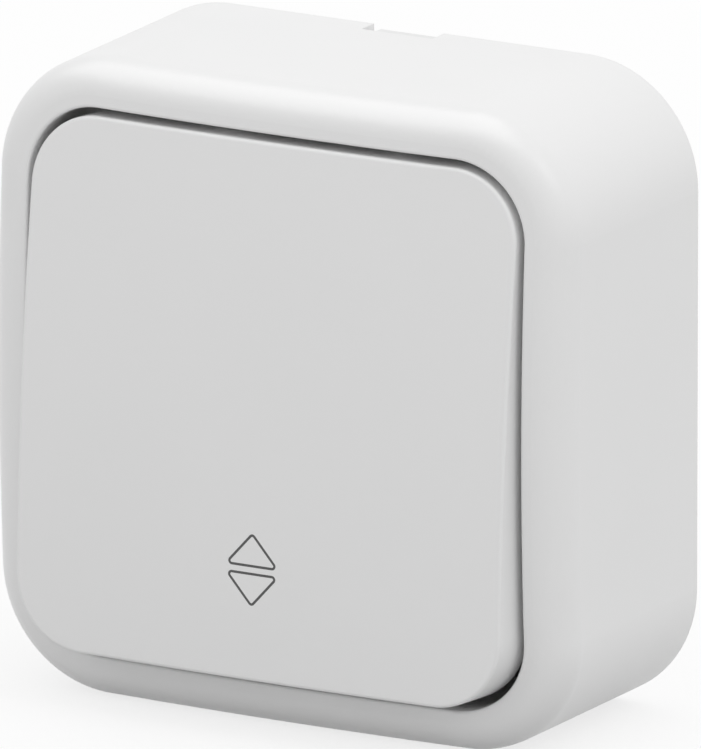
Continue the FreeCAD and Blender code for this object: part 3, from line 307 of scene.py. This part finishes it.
SIGN_UP = -16.33 * MM
SIGN_WIDTH = 6.2 * MM
SIGN_HEIGHT = 3.45 * MM
SIGN_GAP = 0.86 * MM
SIGN_STROKE = 0.27 * MM
SIGN_CORNER = 0.3 * MM
SIGN_STEPS = 8
INK_FILM = 0.008 * MM
key_mesh = nodes["rocker_key"].data
key_face = BVHTree.FromPolygons(
    [vertex.co for vertex in key_mesh.vertices],
    [polygon.vertices for polygon in key_mesh.polygons],
)
triangles = []
for side in (1, -1):
    base_up = SIGN_UP + side * SIGN_GAP / 2
    apex_up = base_up + side * SIGN_HEIGHT
    triangles.append(hollow_triangle(apex_up, base_up, SIGN_WIDTH, SIGN_CORNER, SIGN_STEPS))
sign = print_band("two_way_sign", triangles, SIGN_STROKE, INK_FILM, key_face)
# Pad ink is a thin dark film, duller than the key, and a little uneven where the pad let go of it.
pad_ink = pad_print_ink("grey_pad_ink", "#4E4E4E", "#5A5A5A", gloss=0.45, ior=1.5, mottle_width=0.35)
sign.data.materials.append(pad_ink)
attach(sign, "rocker")


# The block holds the contacts and clamps. It is moulded in glass-filled polyester, which stands their heat.
# Two screws hold it and the bearing frame to the base.
# The polyester is a pale ivory, dull and faintly rough where the glass lies near the surface.
filled_polyester = moulded_plastic(
    "glass_filled_polyester", "#DEDBCF", "#D2CEC0", gloss=0.55, ior=1.57, grain=0.3, depth=0.012, edge=0.1,
)
dress(filled_polyester, "mechanism_body")


# The bearing frame closes the block, the cradle tilts in it, and the plunger slides in the cradle.
# All three are moulded in acetal, which runs without grease. The plunger is made in a darker stock.
# Acetal looks waxy and slightly cloudy, with a soft shine.
pale_acetal = moulded_plastic(
    "pale_grey_acetal", "#C9CACB", "#BFC0C2", gloss=0.38, ior=1.48, grain=0.8, depth=0.004, edge=0.1,
)
grey_acetal = moulded_plastic(
    "dark_grey_acetal", "#77797B", "#6C6E70", gloss=0.36, ior=1.48, grain=0.8, depth=0.004, edge=0.1,
)
dress(pale_acetal, "bearing_frame", "rocker_cradle")
dress(grey_acetal, "plunger")


# The spring is drawn steel wire, coiled cold. It sits in the cradle's tube and presses on the plunger.
# Its front end stays on the tube's closed end. In the real switch its rear end follows the plunger, so it
# shortens; here it moves with the rocker as one piece and keeps its length.
def bare_metal(name, colour, shade, gloss, line, line_stretch, depth):
    """Worked metal with fine lines, over which it drifts between two tones, and its gloss with them.

    The gloss is the middle roughness. The lines' spacing and depth are in millimetres, and line_stretch is
    how many times longer they run along each axis. Real lines are finer, and are drawn as coarse as they
    need to show.
    """
    material, tree = new_material(name)
    gloss_drift = 0.2
    worn_edge = 0.06
    place = add(tree, "ShaderNodeTexCoord").outputs["Object"]
    stretch = add(
        tree,
        "ShaderNodeVectorMath",
        {0: place, 1: tuple(1 / (line * MM * factor) for factor in line_stretch)},
        operation="MULTIPLY",
    )
    lines = add(tree, "ShaderNodeTexNoise", {"Vector": stretch.outputs[0], "Scale": 1.0, "Detail": 2.0})
    tone = add(
        tree,
        "ShaderNodeMix",
        {"Factor": lines.outputs["Fac"], MIX_A: linear(colour), MIX_B: linear(shade)},
        data_type="RGBA",
    )
    polish = add(
        tree,
        "ShaderNodeMapRange",
        {
            "Value": lines.outputs["Fac"],
            "To Min": gloss * (1 - gloss_drift),
            "To Max": gloss * (1 + gloss_drift),
        },
    )
    soft_edge = add(tree, "ShaderNodeBevel", {"Radius": worn_edge * MM}, samples=4)
    relief = add(
        tree,
        "ShaderNodeBump",
        {
            "Strength": 1.0,
            "Distance": depth * MM,
            "Height": lines.outputs["Fac"],
            "Normal": soft_edge.outputs["Normal"],
        },
    )
    surface = add(
        tree,
        "ShaderNodeBsdfPrincipled",
        {
            "Base Color": tone.outputs[MIX_RESULT],
            "Metallic": 1.0,
            "Roughness": polish.outputs["Result"],
            "Normal": relief.outputs["Normal"],
        },
    )
    add(tree, "ShaderNodeOutputMaterial", {"Surface": surface.outputs[0]})
    return material


# Drawn steel is a neutral grey with a soft shine, and keeps fine lines from the die.
drawn_steel = bare_metal(
    "drawn_spring_steel", "#B9B9B7", "#A3A3A1", gloss=0.36, line=0.08, line_stretch=(1, 8, 1), depth=0.001,
)
spring_mesh = nodes["plunger_spring"].data.copy()
spring_mesh.materials.clear()
spring_mesh.materials.append(drawn_steel)
coil_spring = bpy.data.objects.new("coil_spring", spring_mesh)
bpy.context.scene.collection.objects.link(coil_spring)
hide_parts("plunger_spring")
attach(coil_spring, "rocker")
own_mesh(coil_spring)


# Two screws hold the block to the base, two hold the housing, and three press the clamps on the wires.
# They are turned from steel and plated with bright zinc.
# Bright zinc has a cool, pale and faintly cloudy shine.
zinc_plate = bare_metal(
    "bright_zinc_plated_steel", "#D6D9DC", "#C2C7CC",
    gloss=0.22, line=0.5, line_stretch=(1, 1, 1), depth=0.003,
)
screws = [name for name in nodes if name.endswith("_screw")]
dress(zinc_plate, *screws)


# The contact strips, the see-saw and the clamps are stamped and bent from rolled brass.
# The tips are silver alloy rivets, set in the see-saw and in the two fixed strips.
# Rolled brass is a warm yellow that keeps the mill's long lines. The silver alloy is nearly white and plain.
rolled_brass = bare_metal(
    "rolled_brass", "#D9B45C", "#CBA34C", gloss=0.35, line=0.12, line_stretch=(12, 1, 1), depth=0.002,
)
silver_alloy = bare_metal(
    "silver_contact_alloy", "#E2E0DA", "#D2D0CA", gloss=0.36, line=0.3, line_stretch=(1, 1, 1), depth=0.002,
)
clamps = [name for name in nodes if name.endswith("_clamp")]
strips = [name for name in nodes if name.endswith("_contact")]
tips = [name for name in nodes if name.endswith("_tip")]
dress(rolled_brass, *clamps, *strips)
dress(silver_alloy, *tips)


# The switch stands on a plain sheet of matt paper, which throws light up at it as a pale grey sheet does.
# The camera, gloss and glass see the sheet white, with a glow that leaves only a faint shadow on it.
def directly_seen(tree):
    """1 where the camera, gloss or glass sees the surface, and 0 where it only lights other things."""
    rays = add(tree, "ShaderNodeLightPath").outputs
    in_view = add(
        tree,
        "ShaderNodeMath",
        {0: rays["Is Camera Ray"], 1: rays["Is Glossy Ray"]},
        operation="MAXIMUM",
    )
    in_view = add(
        tree,
        "ShaderNodeMath",
        {0: in_view.outputs[0], 1: rays["Is Transmission Ray"]},
        operation="MAXIMUM",
    )
    return in_view.outputs[0]


floor_reach = 3.0
glow_share = 0.75
lowest = cad_box[0].z
floor_mesh = bpy.data.meshes.new("studio_floor")
floor_mesh.from_pydata(
    [(x * floor_reach, y * floor_reach, lowest) for x, y in ((-1, -1), (1, -1), (1, 1), (-1, 1))],
    [],
    [(0, 1, 2, 3)],
)
floor = bpy.data.objects.new("studio_floor", floor_mesh)
bpy.context.scene.collection.objects.link(floor)
matt_paper, tree = new_material("matt_paper")
shown = directly_seen(tree)
backlit = add(tree, "ShaderNodeMath", {0: shown, 1: glow_share}, operation="MULTIPLY")
tint = add(
    tree,
    "ShaderNodeMix",
    {"Factor": shown, MIX_A: linear("#BCBCBC"), MIX_B: linear("#FFFFFF")},
    data_type="RGBA",
)
sheet = add(tree, "ShaderNodeBsdfDiffuse", {"Color": tint.outputs[MIX_RESULT]})
glow = add(tree, "ShaderNodeEmission", {"Color": linear("#FFFFFF"), "Strength": 1.0})
paper = add(
    tree,
    "ShaderNodeMixShader",
    {0: backlit.outputs[0], 1: sheet.outputs[0], 2: glow.outputs[0]},
)
add(tree, "ShaderNodeOutputMaterial", {"Surface": paper.outputs[0]})
floor_mesh.materials.append(matt_paper)


# The studio is white all round, and lights the switch evenly from every side.
# The camera, gloss and glass see its walls full white. They give a little less light than that.
wall_light = 0.915
world = bpy.data.worlds.new("white_studio")
bpy.context.scene.world = world
world.use_nodes = True
tree = world.node_tree
tree.nodes.clear()
walls = add(tree, "ShaderNodeBackground", {"Color": linear("#FFFFFF"), "Strength": wall_light})
white = add(tree, "ShaderNodeBackground", {"Color": linear("#FFFFFF"), "Strength": 1.0})
studio = add(
    tree,
    "ShaderNodeMixShader",
    {0: directly_seen(tree), 1: walls.outputs[0], 2: white.outputs[0]},
)
add(tree, "ShaderNodeOutputWorld", {"Surface": studio.outputs[0]})


# Two soft boxes shine down on the switch. The one above the right side lights the upper right edges most.
# The wide one above the left side shows only in gloss, and draws the bright line along the top edges.
def soft_box(name, location, size, energy):
    """A square lamp that points at the switch, and that the camera doesn't see."""
    lamp = bpy.data.lights.new(name, "AREA")
    lamp.shape = "SQUARE"
    lamp.size = size
    lamp.energy = energy
    box = bpy.data.objects.new(name, lamp)
    box.location = location
    box.rotation_mode = "QUATERNION"
    box.rotation_quaternion = (-box.location).to_track_quat("-Z", "Y")
    box.visible_camera = False
    bpy.context.scene.collection.objects.link(box)
    return box


soft_box("right_box", (0.75, -0.15, 0.75), size=0.5, energy=1.1)
top_box = soft_box("top_box", (-0.33, -0.18, 0.92), size=1.2, energy=8.0)
top_box.visible_diffuse = False


# The camera looks from the right of the front and a little above, through a very long lens.
# Its place follows from these two angles, the height that the picture spans and the point that it aims at.
azimuth = math.radians(29.586)
elevation = math.radians(15.167)
picture_height = 79.44 * MM
aim_right = -6.19 * MM
aim_up = -2.81 * MM
lens = 1500.0
back = Vector((
    math.sin(azimuth) * math.cos(elevation),
    -math.cos(azimuth) * math.cos(elevation),
    math.sin(elevation),
))
right = Vector((math.cos(azimuth), math.sin(azimuth), 0))
up = back.cross(right)
camera_data = bpy.data.cameras.new("studio_camera")
camera_data.lens = lens
distance = picture_height * lens / camera_data.sensor_width
camera = bpy.data.objects.new("studio_camera", camera_data)
camera.location = right * aim_right + up * aim_up + back * distance
camera.rotation_mode = "QUATERNION"
camera.rotation_quaternion = (-back).to_track_quat("-Z", "Y")
bpy.context.scene.collection.objects.link(camera)
bpy.context.scene.camera = camera
bpy.context.scene.view_settings.view_transform = "Standard"


# The scene is brought up to date.
bpy.context.view_layer.update()
